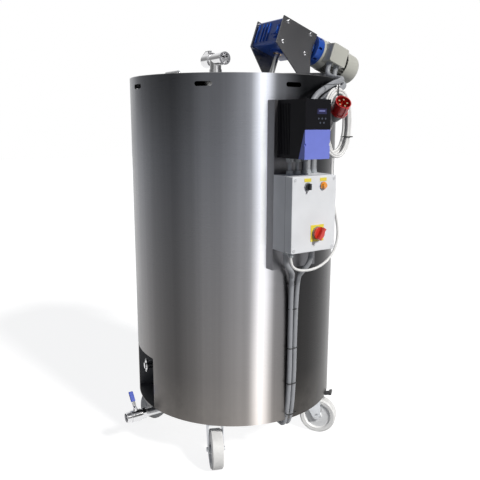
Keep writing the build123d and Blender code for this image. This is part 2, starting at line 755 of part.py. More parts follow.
fan_u = frame_end + 8
with BuildPart(tower) as motor_fan:
    with Locations((fan_u, worm_y, 0)):
        Cylinder(14, 20, rotation=(0, 90, 0), align=MX)
        Cylinder(fan_r, 2, rotation=(0, 90, 0), align=MX)
        for k in range(6):
            with Locations(Rotation(60 * k, 0, 0)):
                with Locations((0, 0, fan_r / 2)):
                    Box(18, 2, fan_r - 2, align=(Align.MIN, Align.CENTER, Align.CENTER))
        Cylinder(motor_shaft_r, 30, rotation=(0, 90, 0), align=MX, mode=Mode.SUBTRACT)
save(many(motor_rotor.part, motor_fan.part), "motor_rotor")

cowl_r = fin_r + fit + cowl_wall


def cowl_form(r, length, rounding):
    """Cylinder along the motor with its far edge rounded."""
    with BuildPart(tower) as made:
        with Locations((cowl_start, worm_y, 0)):
            Cylinder(r, length, rotation=(0, 90, 0), align=MX)
        fillet(made.edges().filter_by(GeomType.CIRCLE).sort_by(Axis(tower.origin,
               tower.x_dir))[-1], rounding)
    return made.part


with BuildPart(tower) as cowl_slots:
    for k in range(8):
        with Locations(Location((cowl_end - 6, worm_y, 0), (45 * k, 0, 0))):
            with Locations((0, 0, 27)):
                Box(12, 7, 26, align=(Align.MIN, Align.CENTER, Align.CENTER))
motor_cowl = (cowl_form(cowl_r, cowl_len, cowl_round)
              - cowl_form(cowl_r - cowl_wall, cowl_len - cowl_wall, cowl_round - cowl_wall)
              - cowl_slots.part)
save(motor_cowl, "motor_cowl")

tu, tn = (tbox_u0 + tbox_u1) / 2, (tbox_n0 + tbox_n1) / 2
with BuildPart(tower) as terminal_box:
    with Locations((tu, tbox_face, tn)):
        Box(tbox_u1 - tbox_u0, worm_y - 40 - tbox_face, tbox_n1 - tbox_n0,
            align=(Align.CENTER, Align.MIN, Align.CENTER))
    with Locations((tu, tbox_face, tn)):
        Box(tbox_u1 - tbox_u0 - 6, worm_y - 62 - tbox_face, tbox_n1 - tbox_n0 - 6,
            align=(Align.CENTER, Align.MIN, Align.CENTER), mode=Mode.SUBTRACT)
    with Locations((flange_end, worm_y, 0)):
        Cylinder(fin_r, shield_len + frame_len, rotation=(0, 90, 0), align=MX,
                 mode=Mode.SUBTRACT)

with BuildPart(tower) as terminal_lid:
    with Locations((tu, tbox_face, tn)):
        Box(tbox_u1 - tbox_u0 + 4, tbox_lid_t, tbox_n1 - tbox_n0 + 4,
            align=(Align.CENTER, Align.MAX, Align.CENTER))
    fillet(terminal_lid.edges().filter_by(Axis.Y), 8)
    fillet(terminal_lid.faces().sort_by(Axis.Y)[0].edges(), 3)
save(many(terminal_box.part, terminal_lid.part), "terminal_box")

# Console and control box
con_w = con_x1 - con_x0
con_mid = (con_x0 + con_x1) / 2
with BuildPart() as console:
    with Locations((con_mid, con_y, con_z0)):
        Box(con_w, -con_y - shell_r + 20, con_z1 - con_z0,
            align=(Align.CENTER, Align.MIN, Align.MIN))
    with Locations((con_mid, con_y + con_t, con_z0)):
        Box(con_w - 2 * con_t, 100, con_z1 - con_z0, align=(Align.CENTER, Align.MIN, Align.MIN),
            mode=Mode.SUBTRACT)
    with Locations((0, 0, con_z0 - 5)):
        Cylinder(shell_r, con_z1 - con_z0 + 10, align=MX, mode=Mode.SUBTRACT)
save(console.part, "console")

box_mid = (box_z0 + box_z1) / 2
with BuildPart() as control_box:
    with Locations((con_mid, box_joint, box_mid)):
        Box(con_w, con_y - box_joint, box_z1 - box_z0, align=(Align.CENTER, Align.MIN, Align.CENTER))
        Box(con_w - 2 * box_wall, con_y - box_joint - box_wall, box_z1 - box_z0 - 2 * box_wall,
            align=(Align.CENTER, Align.MIN, Align.CENTER), mode=Mode.SUBTRACT)
save(control_box.part, "control_box")

with BuildPart() as control_box_lid:
    with Locations((con_mid, box_face, box_mid)):
        Box(con_w, box_joint - box_face, box_z1 - box_z0, align=(Align.CENTER, Align.MIN, Align.CENTER))
    fillet(control_box_lid.edges().filter_by(Axis.Y), 6)
    fillet(control_box_lid.faces().sort_by(Axis.Y)[0].edges(), 2.5)
    with Locations((con_mid, box_face + box_wall, box_mid)):
        Box(con_w - 2 * box_wall, box_joint - box_face, box_z1 - box_z0 - 2 * box_wall,
            align=(Align.CENTER, Align.MIN, Align.CENTER), mode=Mode.SUBTRACT)
    for x, z, r in ((knob_x, small_z, 5 + fit), (lamp_x, small_z, 11), (switch_x, switch_z, 4 + fit)):
        with Locations((x, box_face, z)):
            Cylinder(r, 4 * box_wall, rotation=(90, 0, 0), mode=Mode.SUBTRACT)
    for sx in (-1, 1):
        for sz in (-1, 1):
            with Locations(Location((con_mid + sx * (con_w / 2 - 12), box_face,
                                     box_mid + sz * ((box_z1 - box_z0) / 2 - 12)), (90, 0, 0))):
                Cylinder(5.5, 2, align=MX)
save(control_box_lid.part, "control_box_lid")

plate_face = box_face - 1.2
with BuildPart() as label_plates:
    for x in (knob_x, lamp_x):
        with Locations((x, box_face, small_z + small_r + 8)):
            Box(30, 1.2, 12, align=(Align.CENTER, Align.MAX, Align.CENTER))
    with Locations((switch_x, box_face, switch_z)):
        Box(switch_plate, 1.2, switch_plate, align=(Align.CENTER, Align.MAX, Align.CENTER))
        Cylinder(4 + fit, 6, rotation=(90, 0, 0), mode=Mode.SUBTRACT)
save(label_plates.part, "label_plates")


def front_disc(x, y, z, r, length, mode=Mode.ADD):
    """Cylinder that stands out of a front face towards -Y."""
    with Locations(Location((x, y, z), (90, 0, 0))):
        return Cylinder(r, length, align=MX, mode=mode)


with BuildPart() as switch_bezels:
    front_disc(knob_x, box_face, small_z, small_r, 4)
    front_disc(knob_x, box_face + 1, small_z, 5 + fit, 10, Mode.SUBTRACT)
    front_disc(switch_x, plate_face, switch_z, 24, 7)
    front_disc(switch_x, plate_face + 1, switch_z, 4 + fit, 12, Mode.SUBTRACT)
save(switch_bezels.part, "switch_bezels")

with BuildPart() as selector_knob:
    front_disc(knob_x, box_face + 14, small_z, 5, 18 + gap)
    front_disc(knob_x, box_face - 4 - gap, small_z, 11, 6)
    with Locations((knob_x, box_face - 4 - gap, small_z)):
        Box(7, 16, 22, align=(Align.CENTER, Align.MAX, Align.CENTER))
    fillet(selector_knob.faces().sort_by(Axis.Y)[0].edges(), 1.5)
    with Locations(Location((knob_x, box_face + 14, small_z), (90, 0, 0))):
        Cylinder(9, 6, align=(Align.CENTER, Align.CENTER, Align.MIN))
save(selector_knob.part, "selector_knob")

with BuildPart() as signal_lamp:
    front_disc(lamp_x, box_face + 24, small_z, 11, 24)
    front_disc(lamp_x, box_face, small_z, small_r, 5)
    with Locations(Location((lamp_x, box_face - 5, small_z), (90, 0, 0))):
        Cone(11.5, 8, 9, align=MX)
save(signal_lamp.part, "signal_lamp")

knob_back = plate_face - 7 - gap
with BuildPart() as main_switch:
    front_disc(switch_x, box_face + 16, switch_z, 4, box_face + 16 - knob_back)
    front_disc(switch_x, knob_back, switch_z, 23, 8)
    with Locations(Location((switch_x, knob_back, switch_z), (0, 30, 0))):
        Box(14, 24, 46, align=(Align.CENTER, Align.MAX, Align.CENTER))
    fillet(main_switch.faces().sort_by(Axis.Y)[0].edges(), 3)
    with Locations(Location((switch_x, box_face + 16, switch_z), (90, 0, 0))):
        Cylinder(10, 6, align=MX)
save(main_switch.part, "main_switch")

# Inverter
inv_w = inv_x1 - inv_x0
with BuildPart() as inverter_body:
    with Locations((inv_x0, inv_face, inv_z0)):
        Box(inv_w, con_y - inv_face, inv_z1 - inv_z0, align=(Align.MIN, Align.MIN, Align.MIN))
    with BuildSketch(Plane.YZ.offset(inv_x0)):
        with BuildLine():
            Polyline((inv_face, inv_split), (inv_face + inv_lip, inv_split),
                     (inv_face + inv_wedge + inv_lip, inv_z0), (inv_face, inv_z0), close=True)
        make_face()
    extrude(amount=inv_w, mode=Mode.SUBTRACT)
    for k in range(7):
        for x, a in ((inv_x0, Align.MIN), (inv_x1, Align.MAX)):
            with Locations((x, con_y - 14 - k * 9, (inv_z0 + inv_z1) / 2)):
                Box(4, 4, inv_z1 - inv_z0 - 24, align=(a, Align.CENTER, Align.CENTER),
                    mode=Mode.SUBTRACT)
    with Locations((inv_x0 + 72, inv_face, inv_z1 - 40)):
        Box(42, 2, 18, mode=Mode.SUBTRACT)
    for row, xs in ((inv_z1 - 64, (57, 72, 87)), (inv_z1 - 78, (64, 80))):
        for x in xs:
            front_disc(inv_x0 + x, inv_face, row, 3, 1)
save(inverter_body.part, "inverter_body")

with BuildPart() as inverter_cover:
    with BuildSketch(Plane.YZ.offset(inv_x0)):
        with BuildLine():
            Polyline((inv_face, inv_split), (inv_face + inv_lip, inv_split),
                     (inv_face + inv_wedge + inv_lip, inv_z0), (inv_face, inv_z0), close=True)
        make_face()
    extrude(amount=inv_w)
    for x in (inv_x0, inv_x1):
        with Locations((x, inv_face, inv_z0 + (inv_split - inv_z0) / 2)):
            Cylinder(5, 8, rotation=(90, 0, 0), mode=Mode.SUBTRACT)
save(inverter_cover.part, "inverter_cover")

# Glands and conduits
duct_glands = ((con_x0 + 30, con_y - 39), (con_x1 - 50, con_y - 39))
cord_gland = (con_x0 + 15, con_y - 89)
hose_glands = ((con_x1 - 59, con_y - 16), (con_x1 - 31, con_y - 16))
inv_links = tuple((inv_x0 + along, con_y - 44) for along in (22, 56, 90))
hose_us = (tbox_u0 + 22, tbox_u1 - 24)
hose_gland_y = tbox_face + 16


def gland(place, r=gland_r):
    """Hexagon foot and round cap on a wall, its mouth along the placed Z."""
    with BuildPart() as made:
        with BuildSketch(Plane.XY):
            RegularPolygon(r, 6)
        extrude(amount=gland_len * 0.45)
        Cylinder(min(gland_waist, r - 1), gland_len, align=MX)
    return made.part.moved(place)


down = (180, 0, 0)
glands = [gland(Location((x, y, box_z0), down)) for x, y in duct_glands]
glands += [gland(Location((x, y, box_z1))) for x, y in hose_glands + inv_links]
glands += [gland(Location((x, y, inv_z0), down)) for x, y in inv_links]
glands.append(gland(Location((cord_gland[0], cord_gland[1], box_z0), down), 10.5))
for u in hose_us:
    glands.append(gland(tower.location * Location((u, hose_gland_y, tbox_n0), down)))
save(many(*glands), "cable_glands")

runs = []
duct_top = box_z0 - gland_len
duct_mids = ((con_x0 + 79, con_y - 21, con_z0 - 14), (con_x1 - 69, con_y - 19, con_z0 - 12))
for (gx, gy), mid, dx in zip(duct_glands, duct_mids, duct_xs):
    route = [(gx, gy, duct_top), (gx, gy, duct_top - 40), mid, (dx, duct_y, con_z0 - 52),
             (dx, duct_y, duct_low), (dx, duct_y + duct_turn_in, duct_low),
             (dx, duct_y + duct_turn_in, shell_bottom)]
    r = soft_radii(route)
    r = r[:2] + [min(r[2], 45)] + [28, 22]
    print("duct radii", [round(v) for v in r])
    runs.append(tube(route, r, duct_r))
hose_mids = ([(394, -172, 1567), (374, -250, 1559), (324, -312, 1549), (262, -370, 1538),
              (196, -409, 1526), (112, -442, 1496), (60, -467, 1474), (26, -472, 1430)],
             [(436, -170, 1553), (398, -244, 1538), (330, -316, 1521), (266, -374, 1510),
              (200, -413, 1498), (118, -446, 1468), (74, -466, 1436), (54, -472, 1390)])
for u, mids, (gx, gy) in zip(hose_us, hose_mids, hose_glands):
    x, z = world(u, tbox_n0 - gland_len)
    x1, z1 = world(u, tbox_n0 - gland_len - 35)
    route = [(x, hose_gland_y, z), (x1, hose_gland_y, z1)] + mids + [(gx, gy, box_z1 + gland_len)]
    r = soft_radii(route)
    r[-1] = min(r[-1], 40)
    print("hose radii", [round(v) for v in r])
    runs.append(tube(route, r, hose_r))
for x, y in inv_links:
    with BuildPart() as link:
        with Locations((x, y, box_z1 + gland_len)):
            Cylinder(7, inv_z0 - box_z1 - 2 * gland_len, align=MX)
    runs.append(link.part)
save(many(*runs), "conduits")


def strap(x0, x1, y0, y1, z, width=tie_w, thick=tie_t, rad=6.0):
    """Flat band round a box in plan."""
    with BuildPart() as made:
        with BuildSketch(Plane.XY.offset(z - width / 2)):
            with Locations(((x0 + x1) / 2, (y0 + y1) / 2)):
                RectangleRounded(x1 - x0 + 2 * thick, y1 - y0 + 2 * thick, rad + thick)
                RectangleRounded(x1 - x0, y1 - y0, rad, mode=Mode.SUBTRACT)
        extrude(amount=width)
    return made.part


ties = [strap(duct_xs[0] - duct_r - fit, duct_xs[1] + duct_r + fit, duct_y - duct_r - fit,
              duct_y + duct_r + fit, z, rad=duct_r - 0.5) for z in tie_zs]
hank_right = hank_x + hank_half
ties.append(strap(hank_right - hank_band - gap, hank_right + gap, hank_y - hank_thick / 2 - gap,
                  hank_y + hank_thick / 2 + gap, hank_z - 50, rad=2))
top_y0, top_y1 = hank_y - hank_thick / 2 - gap, con_y + 31.5
top_z0, top_z1 = hank_z + 75, hank_z + hank_tall + 7.5
with BuildPart() as top_tie:
    with BuildSketch(Plane.YZ.offset(hank_x - 8 - tie_w / 2)):
        with Locations(((top_y0 + top_y1) / 2, (top_z0 + top_z1) / 2)):
            RectangleRounded(top_y1 - top_y0 + 2 * tie_t, top_z1 - top_z0 + 2 * tie_t, 6 + tie_t)
            RectangleRounded(top_y1 - top_y0, top_z1 - top_z0, 6, mode=Mode.SUBTRACT)
    extrude(amount=tie_w)
ties.append(top_tie.part)
save(many(*ties), "zip_ties")

# Mains lead
with BuildPart() as mains_hank:
    with BuildSketch(Plane(origin=(hank_x, hank_y + hank_thick / 2, hank_z), x_dir=(1, 0, 0),
                           z_dir=(0, -1, 0))):
        SlotOverall(2 * hank_tall, 2 * hank_half, rotation=90)
        SlotOverall(2 * (hank_tall - hank_band), 2 * (hank_half - hank_band), rotation=90,
                    mode=Mode.SUBTRACT)
    extrude(amount=hank_thick)
    fillet(mains_hank.edges(), hank_thick * 0.3)
save(mains_hank.part, "mains_hank")

gx, gy = cord_gland
lead = [(gx, gy, box_z0 - gland_len), (gx, gy, box_z0 - gland_len - 16), (-87, -547, 866), (-62, -551, 853),
        (-14, -558, 850), (40, -563, 866), (90, -560, 905), (117, -552, 963),
        (117, -538, 1030), (108, -522, 1100), (112, -508, 1175), (122, -503, 1249)]
lead_r = soft_radii(lead)
print("lead radii", [round(v) for v in lead_r])
plug_back = Vector(85, -545, 1387)
plug_front = Vector(63.9, -612, 1448)
plug_dir = (plug_front - plug_back).normalized()
away = plug_back - plug_dir * 26
tail = [tuple(plug_back), tuple(away), (93, -511, 1332), (85, -505, 1300)]
tail_r = soft_radii(tail)
print("tail radii", [round(v) for v in tail_r])
save(many(tube(lead, lead_r, cord_r), tube(tail, tail_r, cord_r)), "mains_cord")

plug_plane = Plane(origin=tuple(plug_back), z_dir=tuple(plug_dir))
plug_len = (plug_front - plug_back).length
with BuildPart(plug_plane) as plug_grip:
    Cone(11, 20, 22, align=MX)
    with Locations((0, 0, 22)):
        Cone(20, 27, 22, align=MX)
save(plug_grip.part, "plug_grip")

with BuildPart(plug_plane) as plug_shell:
    with Locations((0, 0, 44)):
        Cylinder(31.5, 7, align=MX)
        Cylinder(28.5, plug_len - 44, align=MX)
    with Locations((0, 0, plug_len - 36)):
        Cylinder(25.5, 40, align=MX, mode=Mode.SUBTRACT)
    with Locations((28, 0, 44)):
        Box(9, 10, plug_len - 44, align=MX)
    with Locations((0, 0, plug_len - 36)):
        Cylinder(25.5, 40, align=MX, mode=Mode.SUBTRACT)
save(plug_shell.part, "plug_shell")

with BuildPart(plug_plane) as plug_pins:
    with Locations((0, 0, plug_len - 36)):
        with PolarLocations(15, 5):
            Cylinder(3.2, 32, align=MX)
save(plug_pins.part, "plug_pins")

# Casters
race_low = fork_top + gap
plates = []
for k, (sx, sy, heading) in casters.items():
    with BuildPart() as cp:
        with Locations((sx * caster_at, sy * caster_at, shell_bottom)):
            Box(105, 85, 4, align=(Align.CENTER, Align.CENTER, Align.MAX))
        with Locations((sx * caster_at, sy * caster_at, race_low)):
            Cylinder(race_r, shell_bottom - 4 - race_low, align=MX)
        with Locations((sx * caster_at, sy * caster_at, fork_top - 8 - 5)):
            Cylinder(king_r, 20, align=MX)
        with Locations((sx * caster_at, sy * caster_at, fork_top - 8 - gap)):
            Cylinder(14, 6, align=(Align.CENTER, Align.CENTER, Align.MAX))
    plates.append(cp.part)
save(many(*plates), "caster_plates")

leg_y = wheel_width / 2 + 3
pedal_z = fork_top - 10
for k, (sx, sy, heading) in casters.items():
    at = Plane(origin=(sx * caster_at, sy * caster_at, 0),
               x_dir=(cos(radians(heading)), sin(radians(heading)), 0), z_dir=(0, 0, 1))
    ear = pedal_x + 7 if k in braked else 43
    with BuildPart(at) as fork:
        with Locations((0, 0, fork_top - 8)):
            Cylinder(race_r + 2, 8, align=MX)
            with Locations((10, 0, 0)):
                Box(66, 2 * (leg_y + fork_t), 4, align=MX)
            Cylinder(king_r + fit, 20, align=MX, mode=Mode.SUBTRACT)
        with BuildSketch(at * Plane(origin=(0, leg_y, 0), x_dir=(1, 0, 0), z_dir=(0, -1, 0))):
            with BuildLine():
                Polyline((-23, fork_top - 4), (ear, fork_top - 4), (trail + 15, wheel_radius + 8),
                         (trail + 12, wheel_radius - 14), (trail - 12, wheel_radius - 14),
                         (-20, fork_top - 34), close=True)
            make_face()
        extrude(amount=-fork_t)
        with BuildSketch(at * Plane(origin=(0, -leg_y - fork_t, 0), x_dir=(1, 0, 0),
                                    z_dir=(0, -1, 0))):
            with BuildLine():
                Polyline((-23, fork_top - 4), (ear, fork_top - 4), (trail + 15, wheel_radius + 8),
                         (trail + 12, wheel_radius - 14), (trail - 12, wheel_radius - 14),
                         (-20, fork_top - 34), close=True)
            make_face()
        extrude(amount=-fork_t)
        with Locations((trail, 0, wheel_radius)):
            Cylinder(axle_r, 2 * (leg_y + fork_t + 6), rotation=(90, 0, 0))
            with Locations((0, leg_y + fork_t, 0)):
                Cylinder(9, 6, rotation=(-90, 0, 0), align=MX)
            with Locations((0, -leg_y - fork_t, 0)):
                Cylinder(9, 6, rotation=(90, 0, 0), align=MX)
        if k in braked:
            with Locations((pedal_x, 0, pedal_z)):
                Cylinder(pedal_pin + fit, 2 * (leg_y + fork_t + 1), rotation=(90, 0, 0),
                         mode=Mode.SUBTRACT)
    save(fork.part, "caster_fork_%d" % k)
    with BuildPart(at) as wheel:
        with Locations((trail, 0, wheel_radius)):
            with BuildSketch(at * Plane(origin=(trail, 0, wheel_radius), x_dir=(0, 1, 0),
                                        z_dir=(1, 0, 0))):
                with BuildLine():
                    w = wheel_width / 2
                    Polyline((-w - 1, axle_r + fit), (w + 1, axle_r + fit), (w + 1, 16), (w - 8, 20),
                             (w - 8, wheel_radius - 26), (w - 1, wheel_radius - 20),
                             (w, wheel_radius - 6), (w - 6, wheel_radius),
                             (-w + 6, wheel_radius), (-w, wheel_radius - 6),
                             (-w + 1, wheel_radius - 20), (-w + 8, wheel_radius - 26),
                             (-w + 8, 20), (-w - 1, 16), close=True)
                make_face()
            revolve(axis=Axis(at.from_local_coords((trail, 0, wheel_radius)), at.y_dir))
    save(wheel.part, "caster_wheel_%d" % k)
    if k in braked:
        with BuildPart(at) as pedal:
            with Locations((pedal_x, 0, pedal_z)):
                Cylinder(5, 2 * (leg_y - gap), rotation=(90, 0, 0))
                Cylinder(pedal_pin, 2 * (leg_y + fork_t), rotation=(90, 0, 0))
            with Locations(Location((pedal_x, 0, pedal_z), (0, -pedal_tilt, 0))):
                Box(pedal_len, 34, 5, align=(Align.MIN, Align.CENTER, Align.CENTER))
                with Locations((pedal_len, 0, 2)):
                    Box(12, 42, 9, align=(Align.MAX, Align.CENTER, Align.CENTER))
        save(pedal.part, "brake_pedal_%d" % k)
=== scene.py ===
# %% [markdown]
# # Dressing a melting kettle
#
# The kettle is a tall round vessel of brushed stainless steel on four casters. A geared
# mixer leans out over its rim, and a control box and a motor drive hang on its front.
# The solid parts come from the CAD model and stay where they are. This lesson gives them
# their finishes, and makes again in softer form what CAD draws too stiffly: the white
# mains lead with its hank and the ribbed grey conduits.

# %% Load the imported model
import json
import math

import bpy
import numpy as np
from mathutils import Matrix, Vector


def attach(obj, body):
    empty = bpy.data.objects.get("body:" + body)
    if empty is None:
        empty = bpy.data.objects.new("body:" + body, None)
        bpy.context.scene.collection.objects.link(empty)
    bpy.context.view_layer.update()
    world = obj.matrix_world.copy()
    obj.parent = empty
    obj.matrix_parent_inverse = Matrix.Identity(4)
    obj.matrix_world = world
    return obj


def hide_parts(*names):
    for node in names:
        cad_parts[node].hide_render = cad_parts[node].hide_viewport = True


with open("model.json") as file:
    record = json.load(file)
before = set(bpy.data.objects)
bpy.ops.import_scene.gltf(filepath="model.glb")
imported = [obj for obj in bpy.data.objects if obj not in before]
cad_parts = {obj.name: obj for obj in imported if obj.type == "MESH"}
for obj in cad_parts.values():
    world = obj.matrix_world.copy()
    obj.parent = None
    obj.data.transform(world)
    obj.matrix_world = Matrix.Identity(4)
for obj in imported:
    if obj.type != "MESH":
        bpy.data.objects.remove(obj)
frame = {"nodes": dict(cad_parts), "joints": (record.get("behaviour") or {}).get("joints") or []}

scene = bpy.context.scene
cad = frame["nodes"]
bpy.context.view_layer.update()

# %% [markdown]
# ## Camera
#
# The picture was taken from the front left of the vessel, a little below the height of
# its rim, with the lens tipped down by eleven degrees. We could aim a camera with a
# constraint, but a matrix made of its three directions says exactly where it looks, and a
# tiny roll can be put in as well.

# %% Camera as three directions
lens_at = Vector((-1.361, -2.177, 1.380))
toward_axis = math.atan2(0.53, 0.848)
tip, swing, roll = math.radians(11.33), math.radians(0.65), math.radians(0.15)
lens_mm, sensor_mm = 44.28, 36.0
heading = toward_axis + swing
level = Vector((math.sin(heading), math.cos(heading), 0))
side = Vector((level.y, -level.x, 0))
ahead = level * math.cos(tip) - Vector((0, 0, 1)) * math.sin(tip)
above = side.cross(ahead)
across = side * math.cos(roll) + above * math.sin(roll)
upward = above * math.cos(roll) - side * math.sin(roll)
turn = Matrix((across, upward, -ahead)).transposed()

camera_data = bpy.data.cameras.new("camera")
camera_data.lens = lens_mm
camera_data.sensor_width = sensor_mm
camera = bpy.data.objects.new("camera", camera_data)
camera.matrix_world = Matrix.Translation(lens_at) @ turn.to_4x4()
scene.collection.objects.link(camera)
scene.camera = camera
print("camera looks along", [round(v, 3) for v in ahead])

# %% [markdown]
# ## Mains lead
#
# The lead is one white rubber cable, ten millimetres thick. It leaves a gland under the
# control box, swings to the right in a low belly and climbs beside the box to a hank of
# six turns. A tie round the top of the hank holds it to the conduits behind it. Its last
# hand's breadth rises to the red plug. A physics rope could be laid, but it would not
# fall as it does on the real kettle. A NURBS spline with listed control points gives
# the same line every time, and the turns of the hank are more control points of that same
# spline.

# %% Control points of the lead, in metres
lead_radius = 0.005
back_off = 0.026                             # last straight stretch before the plug
hank_x, hank_y, hank_z = 130, -503, 1376     # middle of the hank, in millimetres
hank_half, hank_tall = 56.5, 117             # half its width and half its height
lane_off = 10                                # turns lie a cable apart
lead_points = np.array([
    (-100, -545, 906), (-99, -545, 886), (-88, -547, 864), (-60, -551, 852),
    (-14, -558, 850), (40, -563, 866), (90, -560, 905), (117, -552, 963),
    (117, -538, 1030), (108, -522, 1100), (112, -508, 1175), (118, -503, 1235)]) / 1000
plug_back = np.array((85, -545, 1387)) / 1000
plug_front = np.array((63.9, -612, 1448)) / 1000
plug_way = (plug_front - plug_back) / np.linalg.norm(plug_front - plug_back)
tail_points = np.array([
    (98, -495, 1277), (82, -502, 1305), (84, -512, 1340),
    tuple(1000 * (plug_back - back_off * plug_way)), tuple(1000 * plug_back)]) / 1000


def hank_turns(turns=6, per_turn=12):
    """Turns of a flat oval coil, hung from its top.

    The angle runs clockwise from the foot of the coil. Across is the sine of the angle
    and down its cosine, each raised to a power under one, which squares the oval a
    little. Each turn has its own lane in the bundle, and slides over to the next lane
    while it goes round. Towards the foot the lanes spread and the turns differ in length.
    """
    start, stop = math.radians(28), math.radians(30) + 2 * math.pi * (turns - 0.08)
    angle = np.linspace(start, stop, int(turns * per_turn))
    deep = 0.8                               # two layers, pressed together a little
    lane = lane_off * np.array([(-1, -deep), (0, -deep), (1, -deep), (1, deep), (0, deep),
                                (-1, deep), (-1, deep)])
    step = angle / (2 * math.pi)
    first = np.clip(step.astype(int), 0, turns - 1)
    part = (step - first)[:, None]
    shift = lane[first] * (1 - part) + lane[np.minimum(first + 1, turns)] * part
    sine, cosine = np.sin(angle), np.cos(angle)
    wide = np.sign(sine) * np.abs(sine) ** 0.86
    tall = np.sign(cosine) * np.abs(cosine) ** 0.92
    loose = np.clip(cosine, 0, 1) ** 2
    sag = 4 * loose * np.sin(2.4 * first + 0.7)
    x = hank_x - (hank_half + shift[:, 0]) * wide
    z = hank_z - (hank_tall + shift[:, 0]) * tall - sag
    y = hank_y + shift[:, 1] * (1 + 0.35 * loose)
    return np.stack([x, y, z], 1) / 1000


lead_line = np.concatenate([lead_points, hank_turns(), tail_points])
print("the lead has", len(lead_line), "control points")

# %% A NURBS curve from control points


def nurbs_curve(name, points, radius=0.0):
    """Curve object with one open NURBS spline of order three through its ends. The real
    radius is on the points and the bevel is one metre deep, because Blender measures a
    curve's box with the radius of its points alone."""
    data = bpy.data.curves.new(name, "CURVE")
    data.dimensions = "3D"
    data.bevel_depth = 1.0 if radius > 0 else 0.0
    data.bevel_resolution = 5
    data.resolution_u = 8
    data.use_fill_caps = radius > 0
    spline = data.splines.new("NURBS")
    spline.points.add(len(points) - 1)
    spline.points.foreach_set("co", np.c_[points, np.ones(len(points))].ravel())
    spline.points.foreach_set("radius", np.full(len(points), radius))
    spline.order_u = 3
    spline.use_endpoint_u = True
    curve = bpy.data.objects.new(name, data)
    scene.collection.objects.link(curve)
    return curve


def walk_along(points):
    """Evenly dense points of the NURBS line that those control points give."""
    probe = nurbs_curve("probe", points)
    probe.data.resolution_u = 24
    bpy.context.view_layer.update()
    mesh = bpy.data.meshes.new_from_object(probe)
    line = np.empty(len(mesh.vertices) * 3)
    mesh.vertices.foreach_get("co", line)
    bpy.data.objects.remove(probe, do_unlink=True)
    bpy.data.meshes.remove(mesh)
    return line.reshape(-1, 3)


def run_length(line):
    return float(np.linalg.norm(np.diff(line, axis=0), axis=1).sum())


lead_length = run_length(walk_along(lead_line))
lead = nurbs_curve("mains_lead", lead_line, lead_radius)
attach(lead, "kettle")
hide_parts("mains_cord", "mains_hank")
print("lead and hank measure", round(lead_length, 3), "m")

# %% [markdown]
# ## Ribbed conduits
#
# Grey ribbed conduit carries the wires: two runs go down the shell from the control box,
# two swing from the box up to the motor, and three stubs join the box and the drive. The
# ribs could be a bump pattern, but at the edge of a tube a bump shows no teeth. So the
# ribs are real: a ring of points is carried along the line, and its radius rises and
# falls as it goes.

# %% Rings carried along a line


def even_steps(line, step):
    """The line again, with points one step apart, measured along it."""
    along = np.r_[0, np.cumsum(np.linalg.norm(np.diff(line, axis=0), axis=1))]
    at = np.linspace(0, along[-1], max(2, int(round(along[-1] / step)) + 1))
    return np.stack([np.interp(at, along, line[:, k]) for k in range(3)], 1), at


def grid_surface(name, rings):
    """Mesh from rings of points: ring i, point j joins ring i + 1, point j + 1. The ends
    are closed with a face each."""
    count, around = rings.shape[:2]
    number = np.arange(count * around).reshape(count, around)
    ahead_of = np.roll(number, -1, 1)
    quads = np.stack([number[:-1], ahead_of[:-1], ahead_of[1:], number[1:]], -1).reshape(-1, 4)
    faces = quads.tolist() + [number[0, ::-1].tolist(), number[-1].tolist()]
    mesh = bpy.data.meshes.new(name)
    mesh.from_pydata(rings.reshape(-1, 3).tolist(), [], faces)
    mesh.polygons.foreach_set("use_smooth", np.r_[np.ones(len(quads)), 0, 0].astype(bool))
    mesh.update()
    made = bpy.data.objects.new(name, mesh)
    scene.collection.objects.link(made)
    return made


def ribbed_tube(name, points, outer=0.010, depth=0.0009, pitch=0.0052, around=18):
    """Tube along the line of the control points. Its radius is the outer one less a
    rounded wave of the distance along, so that crests are broad and valleys narrow."""
    line, along = even_steps(walk_along(points), pitch / 4)
    tangent = np.gradient(line, axis=0)
    tangent /= np.linalg.norm(tangent, axis=1)[:, None]
    first = np.cross(tangent, (0.5, -0.5, 0.7))
    first /= np.linalg.norm(first, axis=1)[:, None]
    second = np.cross(tangent, first)
    wave = 0.5 - 0.5 * np.cos(2 * math.pi * along / pitch)
    radius = outer - depth * (1 - wave) ** 2
    turn_by = np.linspace(0, 2 * math.pi, around, endpoint=False)
    ring = (np.cos(turn_by)[None, :, None] * first[:, None]
            + np.sin(turn_by)[None, :, None] * second[:, None])
    return grid_surface(name, line[:, None] + radius[:, None, None] * ring), line


# %% The runs of conduit
duct_lines = [
    [(-85, -495, 906), (-85, -495, 866), (-36, -477, 826), (-16, -442.4, 788),
     (-16, -442.4, 172), (-16, -350.4, 172), (-16, -350.4, 202)],
    [(35, -495, 906), (35, -495, 866), (16, -475, 828), (6, -442.4, 788),
     (6, -442.4, 172), (6, -350.4, 172), (6, -350.4, 202)]]
hose_lines = [
    [(394, -172, 1567), (374, -250, 1559), (324, -312, 1549), (262, -370, 1538),
     (196, -409, 1526), (112, -442, 1496), (60, -467, 1474), (26, -472, 1430),
     (26, -472, 1209)],
    [(436, -170, 1553), (398, -244, 1538), (330, -316, 1521), (266, -374, 1510),
     (200, -413, 1498), (118, -446, 1468), (74, -466, 1436), (54, -472, 1390),
     (54, -472, 1209)]]
lean = math.radians(19.5)                    # the motor leans with the mixer
gear_x, gear_z, box_y = 272, 1733, -122      # start of the leaning frame, millimetres
hose_reaches = (172, 214)                    # how far along the frame the hoses leave it
box_under, first_bend = -57, -92             # and how far under it, at their first points
stub_xs, stub_y, stub_zs = (-78, -44, -10), -500, (1209, 1224, 1240)
duct_radius, hose_radius, stub_radius = 0.010, 0.011, 0.007
conduits = []


